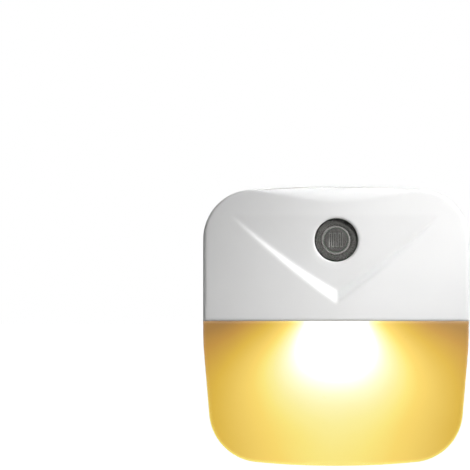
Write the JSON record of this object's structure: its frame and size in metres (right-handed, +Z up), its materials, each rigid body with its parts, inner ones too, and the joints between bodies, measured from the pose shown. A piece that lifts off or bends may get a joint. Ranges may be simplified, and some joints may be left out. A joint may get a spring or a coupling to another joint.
{
  "type": "plug-in night light",
  "caption": "Rounded-square plug-in night light with a white cover, a dusk sensor in a V-shaped hollow, a warm glowing diffuser and a flat two-pin mains plug on its back.",
  "frame": {"origin": "midway between the two pins, on the plug's pin face", "axes": "+Z up, the lit front faces -Y, the pins point along +Y into the socket, +X to the right of someone facing the front"},
  "size_m": [0.062, 0.0616, 0.065],
  "materials": {
    "white_housing": "smooth satin-gloss moulded white",
    "white_plug": "smooth moulded white",
    "diffuser_plastic": "translucent milky plastic lit warm from behind",
    "smoked_lens": "smoked clear plastic",
    "black_rubber": "matt black",
    "ceramic_white": "fired, unglazed",
    "sensor_track": "orange cadmium-sulphide track under lacquer",
    "tinned_wire": "tinned copper",
    "nickel_pin": "nickel-plated brass, lightly turned",
    "board_laminate": "green solder mask",
    "solder": "bright tin solder",
    "screw_steel": "zinc plated",
    "led_white": "white reflective polymer",
    "led_phosphor": "yellow phosphor silicone",
    "reflector_white": "matt white reflective",
    "capacitor_box": "moulded yellow box",
    "capacitor_sleeve": "dark shrink sleeve",
    "black_epoxy": "moulded epoxy",
    "resistor_lacquer": "lacquered",
    "contact_bronze": "phosphor bronze strip"
  },
  "bodies": {
    "root": {"board_screws": "screw_steel", "bridge_rectifier": "black_epoxy", "circuit_board": "board_laminate", "contact_spring_left": "contact_bronze", "contact_spring_right": "contact_bronze", "diffuser": "diffuser_plastic", "electrolytic_capacitor": "capacitor_sleeve", "film_capacitor": "capacitor_box", "front_cover": "white_housing", "fuse_resistor": "resistor_lacquer", "led_packages": "led_white", "led_phosphors": "led_phosphor", "photoresistor": "ceramic_white", "photoresistor_leads": "tinned_wire", "photoresistor_track": "sensor_track", "pin_left": "nickel_pin", "pin_right": "nickel_pin", "pin_sleeve_left": "white_plug", "pin_sleeve_right": "white_plug", "plug_body": "white_plug", "rear_housing": "white_housing", "reflector_tray": "reflector_white", "resistors": "resistor_lacquer", "sensor_lens": "smoked_lens", "sensor_tube": "black_rubber", "solder_joints": "solder", "transistor": "black_epoxy"}
  },
  "joints": []
}
